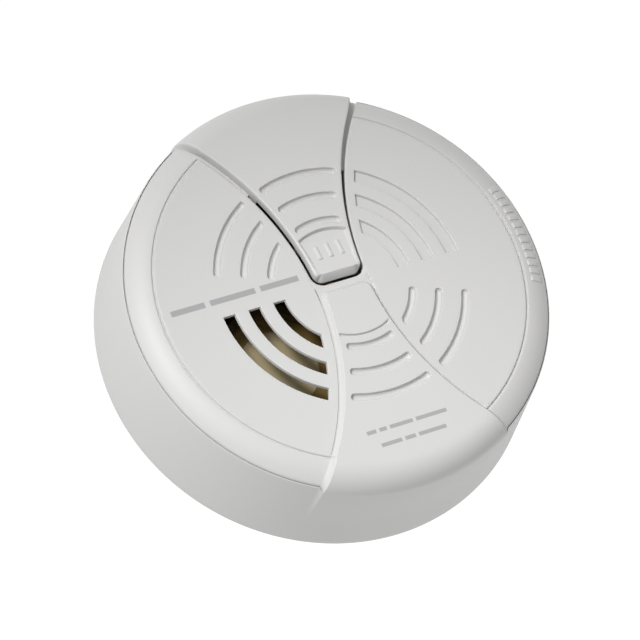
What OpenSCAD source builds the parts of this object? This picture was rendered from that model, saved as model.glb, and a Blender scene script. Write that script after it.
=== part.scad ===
// Round battery-powered carbon monoxide alarm on a twist-lock wall bracket.
// Millimetres. The wall plane is z = 0, the face looks along +z, the test button is on the +y side.

/* [Enclosure] */
// Radius of the cover at its back edge
back_radius = 63.5; // [60:0.5:70]
// Height of the cover's back edge above the wall
back_edge_z = 1.5; // [1:0.1:3]
// Height of the flat face above the wall
face_z = 36.5; // [32:0.5:40]
// Radius of the line groove round the flat face
face_groove_radius = 53; // [50:0.5:56]
// Width of the line groove
face_groove_width = 0.6; // [0.3:0.1:1]
// Depth of the line groove
face_groove_depth = 0.6; // [0.3:0.1:1]
// Radius of the rounded rim's section
rim_round = 12; // [8:0.5:16]
// Radius of the step at the foot of the rounded rim
rim_step_radius = 60.4; // [58:0.1:62]
// Wall thickness of the cover
wall = 2.2; // [1.6:0.1:3]

/* [Raised panels] */
// Height of the two raised panels above the face
panel_rise = 1.6; // [0.6:0.1:2]
// Half width of the waist between the panels
waist = 8; // [6:0.5:12]
// Radius of the concave panel edges
edge_radius = 78; // [70:1:90]
// Radius of the button panel's sides, which makes the gap beside it wider towards the rim
button_side_radius = 81.9; // [78:0.1:86]
// Half width of the button panel at the centre
button_waist = 7; // [5:0.1:11]
// Width of the gap at the free end of the button
moat_width = 1.1; // [0.8:0.1:1.5]
// Depth of that gap where it is blind, below the face
moat_depth = 1.2; // [0.8:0.1:2]
// Radius of the rounding where a panel meets the side wall
panel_round = 7.2; // [5:0.1:9]
// Outermost radius of a panel's rounding
panel_reach = 61.7; // [61:0.1:63]
// Run of the sloped sides of the lower panel
slope_run = 1.35; // [1:0.05:3]

/* [Slots and grooves] */
// Outer radii of the three rings of slots
ring_radii = [21.1, 28.7, 36.3]; // [15:0.1:45]
// Width of the open and the wide blind slots
slot_width = 3.6; // [2.5:0.1:4]
// Width of the narrow grooves
groove_width = 2; // [1:0.1:3]
// Depth of the narrow grooves
groove_depth = 1.2; // [0.4:0.1:1.5]
// Depth of the wide blind slots
wide_depth = 0.9; // [0.4:0.1:1.2]
// How much smaller the rings are on the button panel
button_ring_shift = 1; // [0:0.1:2]
// Distance between the button's tactile ribs
rib_pitch = 3.4; // [2:0.1:5]
// Width of a tactile rib
rib_width = 1.3; // [0.8:0.1:2]
// Length of a tactile rib
rib_length = 4.6; // [3:0.1:6]
// Near end of the tactile ribs
rib_y = 7.9; // [6:0.1:10]
// Angle either side of +X that the dashes on the rim take up
dash_reach = 15; // [5:2.5:20]
// Angle from one dash to the next
dash_step = 2.5; // [2:0.5:5]
// Angle that a dash spans
dash_angle = 1.7; // [1:0.1:2]
// Radius at a dash's inner end
dash_inner_r = 55.3; // [54:0.1:57]
// Radial length of a dash
dash_length = 3.4; // [2:0.1:4]
// Thickness of the cover round the open slots
slot_web = 1; // [0.8:0.1:2]
// Distance of the slot ends from a panel edge
slot_margin = 2.8; // [1:0.1:4]
// Angle at which the narrow grooves stop short of the horizontal
groove_stop_angle = 20; // [10:1:30]
// Radius of the thumb dish and of the arc across the lower panel
dish_radius = 16.8; // [14:0.1:20]
// Depth of the thumb dish at its arc
dish_depth = 1.2; // [0.5:0.1:1.6]

/* [Button] */
// Distance of the button's free end from the centre
button_end_y = 1.9; // [1:0.1:4]
// Radius of the corners of the button's free end
button_corner = 2.5; // [1:0.1:4]
// Gap in the hinge line of the button
hinge_gap = 0.3; // [0.2:0.05:0.5]
// Thickness of the button plate
button_thickness = 2.6; // [2:0.1:3]
// Distance of the switch from the centre
switch_y = 20; // [15:0.5:25]

/* [Back] */
// Height of the outside of the back plate
floor_z = 5.2; // [4.8:0.1:6]
// Thickness of the back plate
floor_thickness = 2; // [1.5:0.1:3]
// Radius of the back plate
floor_radius = 60.4; // [58:0.1:60.5]
// Left edge of the battery bay
bay_left = 12.1; // [11:0.1:14]
// Inside width of the battery bay
bay_width = 29.8; // [28:0.1:32]
// Height of the top of the battery bay roof
bay_top_z = 27.6; // [26.5:0.1:30]

/* [Bracket] */
// Inside radius of the bracket ring
bracket_inner = 51.2; // [50:0.1:53]
// Outside radius of the bracket ring
bracket_outer = 58.2; // [56:0.1:59]
// Thickness of the bracket ring
bracket_thickness = 2.4; // [2:0.1:3]
// Distance between the two wall screw slots
screw_spacing = 83.3; // [70:0.1:90]
// Width of a wall screw slot
screw_slot_width = 4.6; // [4:0.1:6]
// End-to-end length of a wall screw slot
screw_slot_length = 9; // [6:0.5:12]
// Directions of the bayonet hooks
hook_angles = [61, 180, 310]; // [0:1:360]
// Half angle of a bayonet hook
hook_half_angle = 5.5; // [4:0.1:6]

/* [Electronics] */
// Radius of the circuit board
board_radius = 50.5; // [48:0.1:52]
// Height of the underside of the board
board_z = 13; // [11:0.5:15]
// Thickness of the board
board_thickness = 1.6; // [1:0.1:2]
// Centre of the horn
horn_at = [-22, -14]; // [-30:0.5:30]
// Outside radius of the horn
horn_radius = 18.5; // [15:0.5:20]
// Centre of the gas sensor
sensor_at = [-22, 26]; // [-30:0.5:30]
// Radius of the gas sensor can
sensor_radius = 10; // [8:0.5:12]

/* [Hidden] */
$fn = 96;
eps = 0.01;
edge_x = waist + edge_radius;
button_side_x = button_waist + button_side_radius;
panel_z = face_z + panel_rise;
ceiling_z = face_z - wall;
rim_centre = [
    face_groove_radius + face_groove_width - rim_round * sin(8),
    face_z - 0.1 - rim_round * cos(8)
];
rim_foot_z = rim_centre[1] + sqrt(pow(rim_round, 2) - pow(rim_step_radius - rim_centre[0], 2));
wall_top = [rim_step_radius + 0.6, rim_foot_z - 0.8];
groove_floor_z = panel_z - groove_depth;
hinge_radius = ring_radii[2] - button_ring_shift - groove_width;
slit_end_y = button_end_y - moat_width;
board_top = board_z + board_thickness;
bay_wall = 1.6;
bay_low_y = -29;
bay_high_y = 27.4;
bay_door_y = 26.4;
door_axis_y = -26;
door_axis_z = 7.2;
door_pin_radius = 1.2;
door_clearance = 0.08;
battery_size = [26.2, 46.4, 17.2];
battery_centre_x = bay_left + bay_width / 2;
battery_y = -22.8;
battery_z = 8.2;
cover_screw_angles = [0, 120, 240];
cover_screw_radius = 54.5;
boss_foot_z = 9.2;
board_screws_at = [[-48, -6], [-4, 44], [-2, -46]];
capacitors_at = [[3, -30], [-7, -39]];
resistors_at = [[-42, 3], [-42, 7], [-42, 11], [-40, 15]];
coil_at = [-20, -41];
leds_at = [[-9, 7], [-15, 7]];
sensor_pins_at = [[-27, 22], [-17, 22], [-22, 32]];
horn_pins_at = [[-34, -14], [-22, -26], [-14, -8]];
chip_at = [3, -12];
transistors_at = [[4, 4], [-2, -2]];
horn_rim_z = 22;
disc_thickness = 0.3;
plunger_top_z = 20.4;

// ---------- helpers ----------
module at_each(points, z) {
    for (p = points) translate([p[0], p[1], z]) children();
}

module ring(r_in, r_out, z, h) {
    translate([0, 0, z]) difference() {
        cylinder(h = h, r = r_out);
        translate([0, 0, -1]) cylinder(h = h + 2, r = r_in);
    }
}

module arc_block(r_in, r_out, middle, half, z, h) {
    translate([0, 0, z]) rotate([0, 0, middle - half])
        rotate_extrude(angle = 2 * half) translate([r_in, 0]) square([r_out - r_in, h]);
}

// Plan of the hourglass, narrowed on each side by the given margin
module hourglass(margin) {
    difference() {
        translate([-70, -70]) square([140, 140]);
        translate([edge_x, 0]) circle(r = edge_radius + margin);
        translate([-edge_x, 0]) circle(r = edge_radius + margin);
    }
}

// Plan of the button panel between its two concave sides
module button_plan() {
    difference() {
        translate([-70, -70]) square([140, 140]);
        for (s = [-1, 1]) translate([s * button_side_x, 0]) circle(r = button_side_radius);
    }
}

// Plan of what a rounding of radius c takes off the corners between an end line and two side circles
module corner_waste(end_y, side_x, side_radius, c) {
    y = end_y + c;
    // The arcs cross by 0.04, so they never just touch
    x = side_x - sqrt(pow(side_radius + c, 2) - pow(y, 2)) + 0.04;
    for (s = [0, 1]) mirror([s, 0]) difference() {
        translate([x, end_y - 0.5]) square([6, 0.5 + c * side_radius / (side_radius + c)]);
        translate([x, y]) circle(r = c);
    }
}

module half_plan(y, up) {
    translate([-70, up ? y : y - 80]) square([140, 80]);
}

// Plan of the band of one slot ring
module band(k, width, shift = 0) {
    difference() {
        circle(r = ring_radii[k] - shift);
        circle(r = ring_radii[k] - shift - width);
    }
}

// Plan of the part of a quadrant outside the hourglass and its margin
module quadrant(right, up, margin) {
    difference() {
        translate([right ? 0 : -60, up ? 0 : -60]) square([60, 60]);
        hourglass(-margin);
    }
}

// ---------- cover ----------
module sector_profile() {
    polygon([
        [0, back_edge_z], [back_radius, back_edge_z], wall_top,
        [rim_step_radius, rim_foot_z - 0.6], [0, rim_foot_z - 0.6]
    ]);
    square([face_groove_radius, face_z]);
    square([face_groove_radius + face_groove_width, face_z - face_groove_depth]);
    intersection() {
        translate(rim_centre) circle(r = rim_round);
        translate([face_groove_radius - 3, rim_foot_z - 2])
            square([rim_step_radius - face_groove_radius + 3, face_z - rim_foot_z + 1.4]);
        difference() {
            square([rim_step_radius, face_z]);
            translate([0, face_z - face_groove_depth])
                square([face_groove_radius + face_groove_width, 5]);
        }
    }
}

module panel_profile() {
    polygon([
        [0, back_edge_z], [back_radius, back_edge_z], [62.25, 16.2],
        [panel_reach, panel_z - panel_round], [0, panel_z - panel_round]
    ]);
    square([panel_reach - panel_round, panel_z]);
    translate([panel_reach - panel_round, panel_z - panel_round]) circle(r = panel_round);
}

// Solid left standing under the blind gap beside the button panel
module moat_floor_profile() {
    polygon([
        [0, 0], [back_radius, 0], [back_radius, 8], [62, 23],
        [60.6, rim_foot_z - 1], [60, rim_foot_z - 0.6],
        [0, rim_foot_z - 0.6]
    ]);
    square([face_groove_radius, face_z - moat_depth]);
    intersection() {
        translate(rim_centre) circle(r = rim_round - moat_depth / 2);
        square([60, face_z]);
    }
}

module inside_profile() {
    polygon([
        [0, -1], [back_radius - wall + 0.2, -1], [wall_top[0] - wall, wall_top[1] - 1.4],
        [57.4, 32.6], [54.6, ceiling_z], [0, ceiling_z]
    ]);
}

// The fixed outer part of the button panel
module top_panel() {
    intersection() {
        rotate_extrude() panel_profile();
        translate([0, 0, back_edge_z]) linear_extrude(50) intersection() {
            button_plan();
            half_plan(switch_y, true);
        }
    }
}

module lower_panel() {
    difference() {
        intersection() {
            rotate_extrude() panel_profile();
            translate([0, 0, back_edge_z]) linear_extrude(50) intersection() {
                hourglass(0);
                half_plan(-1, false);
            }
        }
        for (s = [-1, 1])
            translate([s * edge_x, 0, face_z])
                cylinder(h = panel_rise + 0.2, r1 = edge_radius, r2 = edge_radius + slope_run * 1.15);
        translate([-20, -1, face_z]) rotate([42, 0, 0]) translate([0, -5, 0]) cube([40, 10, 5]);
    }
}

module moat() {
    difference() {
        translate([0, 0, 20]) linear_extrude(30) intersection() {
            difference() {
                hourglass(0);
                button_plan();
            }
            half_plan(slit_end_y, true);
        }
        rotate_extrude() moat_floor_profile();
    }
}

module button_opening() {
    translate([0, 0, ceiling_z - 2]) linear_extrude(10) difference() {
        intersection() {
            hourglass(0);
            circle(r = ring_radii[2]);
            half_plan(slit_end_y, true);
        }
        difference() {
            button_plan();
            circle(r = hinge_radius + hinge_gap);
        }
        corner_waste(slit_end_y, edge_x, edge_radius, button_corner + moat_width);
    }
}

module face_slots() {
    for (k = [0:2]) {
        // Open slots of the lower left quarter
        translate([0, 0, ceiling_z - 2]) linear_extrude(10) intersection() {
            band(k, slot_width);
            quadrant(false, false, slot_margin);
        }
        // Wide blind slots of the upper right quarter
        translate([0, 0, face_z - wide_depth]) linear_extrude(10) intersection() {
            band(k, slot_width);
            quadrant(true, true, slot_margin);
        }
        // Narrow grooves of the other two quarters
        for (s = [0, 180])
            rotate([0, 0, s]) translate([0, 0, face_z - groove_depth]) linear_extrude(10) intersection() {
                band(k, groove_width);
                quadrant(false, true, slot_margin - 0.5);
                rotate(180 - groove_stop_angle) translate([-10, -100]) square([100, 100]);
            }
        // Narrow grooves of the lower panel
        translate([0, 0, groove_floor_z]) linear_extrude(10) intersection() {
            band(k, groove_width);
            hourglass(3);
            half_plan(0, false);
        }
    }
    // Outer groove of the button panel
    translate([0, 0, groove_floor_z]) linear_extrude(10) intersection() {
        band(2, groove_width, button_ring_shift);
        hourglass(3);
        half_plan(0, true);
    }
    // Arc that bounds the flat pad of the lower panel
    translate([0, 0, panel_z - 1]) linear_extrude(10) intersection() {
        difference() {
            circle(r = dish_radius + 0.5);
            circle(r = dish_radius - 0.4);
        }
        hourglass(1.9);
        half_plan(0, false);
    }
}

// Recess in the inside of the cover behind the open slots
module slot_recess() {
    translate([0, 0, ceiling_z - 1]) linear_extrude(wall + 1 - slot_web) intersection() {
        difference() {
            circle(r = ring_radii[2] + 1.2);
            circle(r = ring_radii[0] - slot_width - 1.5);
        }
        quadrant(false, false, slot_margin - 1.2);
    }
}

// Plain raised dashes along the right-hand rim
module rim_dashes() {
    for (a = [-dash_reach:dash_step:dash_reach])
        rotate([0, 0, a - dash_angle / 2]) rotate_extrude(angle = dash_angle) intersection() {
            difference() {
                translate(rim_centre) circle(r = rim_round + 0.3);
                translate(rim_centre) circle(r = rim_round - 0.5);
            }
            translate([dash_inner_r, 30]) square([dash_length, 10]);
        }
}

module cover_bosses() {
    for (a = cover_screw_angles)
        rotate([0, 0, a]) translate([cover_screw_radius, 0, boss_foot_z])
            cylinder(h = ceiling_z - boss_foot_z, r = 3.2);
}

module front_cover() {
    color([0.87, 0.87, 0.86]) difference() {
        union() {
            difference() {
                union() {
                    rotate_extrude() sector_profile();
                    top_panel();
                    lower_panel();
                    rim_dashes();
                }
                rotate_extrude() inside_profile();
            }
            cover_bosses();
        }
        moat();
        button_opening();
        face_slots();
        slot_recess();
        for (a = cover_screw_angles)
            rotate([0, 0, a]) translate([cover_screw_radius, 0, 0]) cylinder(h = 22, r = 1.2);
    }
}

// ---------- button ----------
module dish() {
    intersection() {
        translate([0, 0, face_z - 1]) linear_extrude(5) intersection() {
            circle(r = dish_radius);
            hourglass(moat_width + 0.8);
            half_plan(button_end_y + 1.7, true);
        }
        translate([-20, button_end_y + 1.7, panel_z])
            rotate([-atan(dish_depth / (dish_radius - button_end_y - 1.7)), 0, 0]) cube([40, 30, 6]);
    }
}

module button_plate() {
    difference() {
        translate([0, 0, panel_z - button_thickness]) linear_extrude(button_thickness) intersection() {
            button_plan();
            circle(r = hinge_radius);
            half_plan(button_end_y, true);
        }
        translate([0, 0, panel_z - button_thickness - 1]) linear_extrude(button_thickness + 2)
            corner_waste(button_end_y, button_side_x, button_side_radius, button_corner);
        for (k = [0:1])
            translate([0, 0, groove_floor_z]) linear_extrude(5) intersection() {
                band(k, groove_width, button_ring_shift);
                hourglass(3);
                half_plan(0, true);
            }
        dish();
        // Sloped front edge
        translate([-20, button_end_y, panel_z - 1.5]) rotate([48, 0, 0]) cube([40, 5, 5]);
    }
}

module test_button() {
    color([0.85, 0.85, 0.84]) {
        button_plate();
        // Plain tactile ribs in the dish
        for (x = [-rib_pitch, 0, rib_pitch])
            translate([x - rib_width / 2, rib_y, panel_z - 1.6]) cube([rib_width, rib_length, 1.35]);
        // Post that reaches down to the switch
        translate([0, switch_y, plunger_top_z + 0.2])
            cylinder(h = panel_z - 1.4 - plunger_top_z - 0.2, r = 2);
        for (a = [0, 90])
            translate([0, switch_y, 24]) rotate([0, 0, a]) translate([-3.2, -0.6, 0])
                cube([6.4, 1.2, panel_z - button_thickness - 24 + 0.4]);
    }
}

// ---------- back housing ----------
module bay_box(margin, z, top) {
    translate([bay_left - margin, bay_low_y - margin, z])
        cube([bay_width + 2 * margin, bay_high_y - bay_low_y + 2 * margin, top - z]);
}

module bayonet_hooks() {
    for (a = hook_angles) {
        arc_block(43.8, 46, a, hook_half_angle, 0.8, floor_z - 0.8 + 1);
        arc_block(43.8, 49.6, a, hook_half_angle, 0.8, 1.5);
    }
}

module back_housing() {
    color([0.8, 0.8, 0.79]) {
        difference() {
            union() {
                translate([0, 0, floor_z]) cylinder(h = floor_thickness, r = floor_radius);
                ring(58.6, floor_radius, floor_z, 4.5);
                bay_box(bay_wall, floor_z, bay_top_z);
                at_each(board_screws_at, floor_z + 1) cylinder(h = board_z - floor_z - 1, r = 3.2);
                for (a = cover_screw_angles)
                    rotate([0, 0, a]) translate([cover_screw_radius, 0, floor_z])
                        cylinder(h = boss_foot_z - floor_z, r = 4.6);
            }
            bay_box(0, floor_z + 1, bay_top_z - bay_wall);
            translate([bay_left, bay_low_y, floor_z - 1]) cube([bay_width, bay_door_y - bay_low_y, 6]);
            translate([bay_left - 5, door_axis_y, door_axis_z]) rotate([0, 90, 0])
                cylinder(h = bay_width + 10, r = door_pin_radius + door_clearance);
            at_each(board_screws_at, floor_z + 2.4) cylinder(h = 12, r = 1.1);
            for (a = cover_screw_angles)
                rotate([0, 0, a]) translate([cover_screw_radius, 0, floor_z - 1]) {
                    cylinder(h = 3.4, r = 3);
                    cylinder(h = 8, r = 1.5);
                }
            // Passages for the two battery leads
            for (y = [22, 16])
                translate([bay_left - 3, y, 20]) rotate([0, 90, 0]) cylinder(h = 4, r = 1.1);
        }
        bayonet_hooks();
    }
}

// ---------- battery door ----------
module battery_door() {
    door_left = bay_left + 0.4;
    door_width = bay_width - 0.8;
    color([0.78, 0.78, 0.77]) difference() {
        union() {
            translate([door_left, door_axis_y, floor_z]) cube([door_width, 26 - door_axis_y, 1.8]);
            translate([door_left, door_axis_y, door_axis_z]) rotate([0, 90, 0])
                cylinder(h = door_width, r = 1.4);
            translate([bay_left - 1.3, door_axis_y, door_axis_z]) rotate([0, 90, 0])
                cylinder(h = bay_width + 2.6, r = door_pin_radius);
            translate([door_left, door_axis_y - 0.1, floor_z]) cube([door_width, 1.5, 2.4]);
        }
        // Finger notch at the free end
        translate([battery_centre_x, 26.5, floor_z - 1]) cylinder(h = 1.9, r = 7);
        // Grip lines
        for (k = [0:3])
            translate([battery_centre_x - 8, 10 + 2.4 * k, floor_z - 1]) cube([16, 1, 1.4]);
    }
}

// ---------- battery ----------
module battery_block(inset) {
    translate([battery_centre_x - battery_size[0] / 2 + inset, battery_y + inset, battery_z + inset])
        cube([battery_size[0] - 2 * inset, battery_size[1] - 2 * inset, battery_size[2] - 2 * inset]);
}

module battery_jacket() {
    color([0.25, 0.3, 0.42]) difference() {
        battery_block(0);
        battery_block(0.5);
    }
}

module battery_cells() {
    color([0.6, 0.6, 0.6])
        for (i = [-1:1], j = [0, 1])
            translate([battery_centre_x + 8.2 * i, battery_y + 1.5, battery_z + 4.5 + 8.2 * j])
                rotate([-90, 0, 0]) cylinder(h = 42, r = 3.9);
}

module battery_terminals() {
    color([0.75, 0.75, 0.77]) {
        translate([battery_centre_x - 6.35, battery_y + battery_size[1], battery_z + battery_size[2] / 2])
            rotate([-90, 0, 0]) cylinder(h = 2, r = 2.9);
        translate([battery_centre_x + 6.35, battery_y + battery_size[1], battery_z + battery_size[2] / 2])
            rotate([-90, 0, 0]) difference() {
                cylinder(h = 2, r = 4.2, $fn = 6);
                translate([0, 0, 0.6]) cylinder(h = 2, r = 3);
            }
    }
}

module battery_contacts() {
    color([0.8, 0.8, 0.78]) for (s = [-1, 1])
        translate([battery_centre_x + s * 6.35, bay_high_y - 0.6, battery_z + battery_size[2] / 2]) {
            translate([-5, 0, -5]) cube([10, 0.6, 10]);
            rotate([90, 0, 0]) cylinder(h = 1.1, r = 2.4);
        }
}

module battery_leads() {
    color([0.6, 0.12, 0.1]) for (y = [22, 16])
        translate([bay_left - 2.6, y, 20]) rotate([0, 90, 0]) cylinder(h = 3.2, r = 0.8);
    color([0.1, 0.1, 0.1]) for (y = [22, 16])
        translate([bay_left - 3.4, y, board_top]) cylinder(h = 20 - board_top + 0.8, r = 0.8);
}

// ---------- circuit board ----------
module circuit_board() {
    color([0.35, 0.36, 0.16]) difference() {
        translate([0, 0, board_z]) cylinder(h = board_thickness, r = board_radius);
        translate([9.8, -60, board_z - 1]) cube([60, 120, 4]);
        at_each(board_screws_at, board_z - 1) cylinder(h = 4, r = 1.6);
        at_each(sensor_pins_at, board_z - 1) cylinder(h = 4, r = 0.6);
        at_each(horn_pins_at, board_z - 1) cylinder(h = 4, r = 0.6);
        for (a = [120, 240])
            rotate([0, 0, a]) translate([cover_screw_radius, 0, board_z - 1]) cylinder(h = 4, r = 4.4);
    }
}

module solder_joints() {
    color([0.75, 0.76, 0.78])
        for (p = concat(capacitors_at, leds_at, resistors_at, [coil_at, chip_at], transistors_at))
            for (s = [-1.6, 1.6])
                translate([p[0] + s, p[1], board_z - 0.8]) cylinder(h = 0.8, r1 = 0.4, r2 = 0.9);
}

module board_screws() {
    color([0.7, 0.7, 0.72]) at_each(board_screws_at, board_top) {
        cylinder(h = 1.8, r = 2.7);
        translate([0, 0, -6.5]) cylinder(h = 7, r = 1.05);
    }
}

module cover_screws() {
    color([0.7, 0.7, 0.72]) for (a = cover_screw_angles)
        rotate([0, 0, a]) translate([cover_screw_radius, 0, floor_z + 0.5]) {
            difference() {
                cylinder(h = 1.9, r = 2.8);
                for (t = [0, 90])
                    rotate([0, 0, t]) translate([-1.8, -0.35, -1]) cube([3.6, 0.7, 1.9]);
            }
            cylinder(h = 14, r = 1.15);
        }
}

// ---------- gas sensor ----------
module co_sensor_can() {
    color([0.72, 0.72, 0.72]) translate([sensor_at[0], sensor_at[1], board_top + 0.6]) difference() {
        union() {
            cylinder(h = 15, r = sensor_radius);
            translate([0, 0, 15]) cylinder(h = 1, r1 = sensor_radius, r2 = sensor_radius - 1);
        }
        translate([0, 0, 1]) cylinder(h = 13.5, r = sensor_radius - 1);
        translate([0, 0, 14]) cylinder(h = 3, r = 5);
    }
}

module co_sensor_cap() {
    color([0.92, 0.92, 0.9]) translate([sensor_at[0], sensor_at[1], board_top + 15.1]) difference() {
        union() {
            cylinder(h = 1.3, r = 4.9);
            translate([0, 0, 1.3]) cylinder(h = 1, r = 4.4);
        }
        translate([0, 0, 1.2]) cylinder(h = 3, r = 1.2);
    }
}

module co_sensor_pins() {
    color([0.8, 0.75, 0.5]) at_each(sensor_pins_at, board_z - 1.2)
        cylinder(h = board_thickness + 1.8, r = 0.5);
}

// ---------- horn ----------
module horn_cup() {
    color([0.08, 0.08, 0.08]) translate([horn_at[0], horn_at[1], board_top]) difference() {
        cylinder(h = horn_rim_z - board_top, r = horn_radius);
        translate([0, 0, 1.6]) cylinder(h = 20, r = horn_radius - 2.2);
        for (p = horn_pins_at)
            translate([p[0] - horn_at[0], p[1] - horn_at[1], -1]) cylinder(h = 4, r = 0.6);
    }
}

module horn_retaining_ring() {
    color([0.08, 0.08, 0.08]) translate([horn_at[0], horn_at[1], 0]) {
        ring(15.6, horn_radius, horn_rim_z + disc_thickness, 3);
        ring(17.7, horn_radius, horn_rim_z, disc_thickness + eps);
    }
}

module piezo_disc() {
    color([0.78, 0.62, 0.3]) translate([horn_at[0], horn_at[1], horn_rim_z])
        cylinder(h = disc_thickness, r = 17.5);
}

module piezo_ceramic() {
    color([0.82, 0.78, 0.66]) translate([horn_at[0], horn_at[1], horn_rim_z + disc_thickness])
        cylinder(h = 0.2, r = 11.5);
}

module horn_contact_pins() {
    color([0.8, 0.75, 0.5]) at_each(horn_pins_at, board_z - 1.2)
        cylinder(h = horn_rim_z - board_z + 1.2, r = 0.5);
}

// ---------- switch and small parts ----------
module test_switch_body() {
    color([0.12, 0.12, 0.12]) translate([0, switch_y, board_top]) difference() {
        translate([-3, -3, 0]) cube([6, 6, 3.6]);
        translate([0, 0, 0.8]) cylinder(h = 4, r = 1.85);
    }
}

module test_switch_plunger() {
    color([0.85, 0.85, 0.8]) translate([0, switch_y, board_top + 1.6])
        cylinder(h = plunger_top_z - board_top - 1.6, r = 1.75);
}

module status_leds() {
    color([0.8, 0.25, 0.2]) at_each(leds_at, board_top) {
        cylinder(h = 0.8, r = 1.9);
        cylinder(h = 3.6, r = 1.5);
        translate([0, 0, 3.6]) sphere(r = 1.5);
    }
}

module microcontroller() {
    color([0.1, 0.1, 0.1]) translate([chip_at[0] - 3, chip_at[1] - 5, board_top + 0.3]) difference() {
        cube([6, 10, 2]);
        translate([3, 10, 1.4]) cylinder(h = 2, r = 0.9);
    }
}

module microcontroller_leads() {
    color([0.8, 0.8, 0.82]) for (s = [-1, 1], k = [0:6])
        translate([chip_at[0] + (s > 0 ? 3 : -4.2), chip_at[1] - 4.05 + 1.27 * k, board_top]) {
            cube([1.2, 0.5, 0.3]);
            translate([s > 0 ? 0 : 0.8, 0, 0]) cube([0.4, 0.5, 1.2]);
        }
}

module capacitors() {
    color([0.15, 0.18, 0.35]) for (i = [0, 1])
        translate([capacitors_at[i][0], capacitors_at[i][1], board_top])
            cylinder(h = 11 - i, r = 4 - 0.8 * i);
}

module resistors() {
    color([0.75, 0.65, 0.45]) at_each(resistors_at, board_top + 1.1) {
        translate([-3, 0, 0]) rotate([0, 90, 0]) cylinder(h = 6, r = 1.1);
        for (s = [-3.6, 3.6])
            translate([s, 0, -1.1]) cylinder(h = 1.4, r = 0.3);
        translate([-3.8, 0, 0]) rotate([0, 90, 0]) cylinder(h = 7.6, r = 0.3);
    }
}

module transistors() {
    color([0.1, 0.1, 0.1]) at_each(transistors_at, board_top + 0.5) intersection() {
        cylinder(h = 4.6, r = 2.3);
        translate([-3, -1.4, 0]) cube([6, 6, 5]);
    }
}

module horn_coil_core() {
    color([0.12, 0.12, 0.12]) translate([coil_at[0], coil_at[1], board_top]) {
        cylinder(h = 1.4, r = 4.6);
        cylinder(h = 10, r = 2.2);
        translate([0, 0, 8.6]) cylinder(h = 1.4, r = 4.6);
    }
}

module horn_coil_winding() {
    color([0.7, 0.38, 0.2]) translate([coil_at[0], coil_at[1], 0]) ring(2.2, 4.1, board_top + 1.4, 7.2);
}

// ---------- bracket ----------
module screw_slot_plan(s) {
    half = (screw_slot_length - screw_slot_width) / 2;
    translate([0, s * screw_spacing / 2]) {
        for (t = [-1, 1])
            translate([0, t * half]) circle(r = screw_slot_width / 2);
        translate([-screw_slot_width / 2, -half]) square([screw_slot_width, 2 * half]);
    }
}

module bracket_plan() {
    difference() {
        circle(r = bracket_outer);
        difference() {
            circle(r = bracket_inner);
            for (s = [-1, 1])
                translate([-5, s > 0 ? 34 : -64]) square([10, 30]);
        }
        for (s = [-1, 1]) screw_slot_plan(s);
    }
}

module mounting_bracket() {
    color([0.9, 0.9, 0.89]) {
        linear_extrude(bracket_thickness) bracket_plan();
        // Bayonet tabs, each on a riser from the ring
        for (a = hook_angles) {
            arc_block(bracket_inner + 0.4, 53.5, a, hook_half_angle - 0.4, 1, 3.4);
            arc_block(46.4, 52.6, a, hook_half_angle, 2.6, 2);
        }
    }
}

mounting_bracket();
back_housing();
front_cover();
test_button();
battery_door();
battery_jacket();
battery_cells();
battery_terminals();
battery_contacts();
battery_leads();
circuit_board();
solder_joints();
board_screws();
cover_screws();
co_sensor_can();
co_sensor_cap();
co_sensor_pins();
horn_cup();
horn_retaining_ring();
piezo_disc();
piezo_ceramic();
horn_contact_pins();
test_switch_body();
test_switch_plunger();
status_leds();
microcontroller();
microcontroller_leads();
capacitors();
resistors();
transistors();
horn_coil_core();
horn_coil_winding();
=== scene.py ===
"""Looks of the round carbon monoxide alarm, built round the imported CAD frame.

The cover and the button are fine meshes worked out in millimetres. Everything else is the CAD's
own solids with procedural materials.
"""
import bmesh
import bpy
import math
import numpy as np
from mathutils import Matrix


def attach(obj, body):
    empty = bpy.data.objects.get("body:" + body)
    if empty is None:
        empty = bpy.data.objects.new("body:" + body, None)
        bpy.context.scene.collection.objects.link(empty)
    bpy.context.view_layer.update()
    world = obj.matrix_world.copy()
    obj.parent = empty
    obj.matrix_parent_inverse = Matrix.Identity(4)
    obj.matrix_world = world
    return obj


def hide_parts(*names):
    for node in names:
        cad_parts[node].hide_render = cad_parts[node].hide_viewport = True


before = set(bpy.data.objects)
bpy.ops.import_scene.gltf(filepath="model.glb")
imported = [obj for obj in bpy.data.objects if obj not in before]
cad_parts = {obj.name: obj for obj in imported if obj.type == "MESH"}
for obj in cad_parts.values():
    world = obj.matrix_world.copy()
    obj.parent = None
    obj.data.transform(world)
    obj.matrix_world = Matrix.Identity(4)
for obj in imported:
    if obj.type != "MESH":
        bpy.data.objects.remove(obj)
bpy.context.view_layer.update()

# ---------- sizes, millimetres ----------
FACE_Z = 36.5          # flat face of the cover
PANEL_RISE = 1.6
PANEL_Z = FACE_Z + PANEL_RISE
EDGE_X = 86.0          # centres of the concave panel edges lie on the X axis
EDGE_R = 78.0          # radius of those edges
SIDE_X = 88.9          # centres and radius of the button panel's sides
SIDE_R = 81.9
MOAT = 1.1             # width and depth of the gap beside the button panel
MOAT_DEPTH = 1.2
SHELL = 2.3            # depth of the walls of the openings
SLOPE = 1.35           # run of the lower panel's sloped sides
RINGS = (21.1, 28.7, 36.3)
RING_SHIFT = 1.0       # how much smaller the rings are on the button panel
WIDE = 3.6             # widths of the two kinds of slot
NARROW = 2.0
OPEN_DEPTH = 1.0       # thickness of the cover round the open slots
WIDE_DEPTH = 0.9
GROOVE_DEPTH = 1.2
WIDE_END = EDGE_R - 2.8          # where the slots end beside a panel
NARROW_END = EDGE_R - 2.3
PANEL_GROOVE_END = EDGE_R + 3    # where the grooves end on a panel
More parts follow.
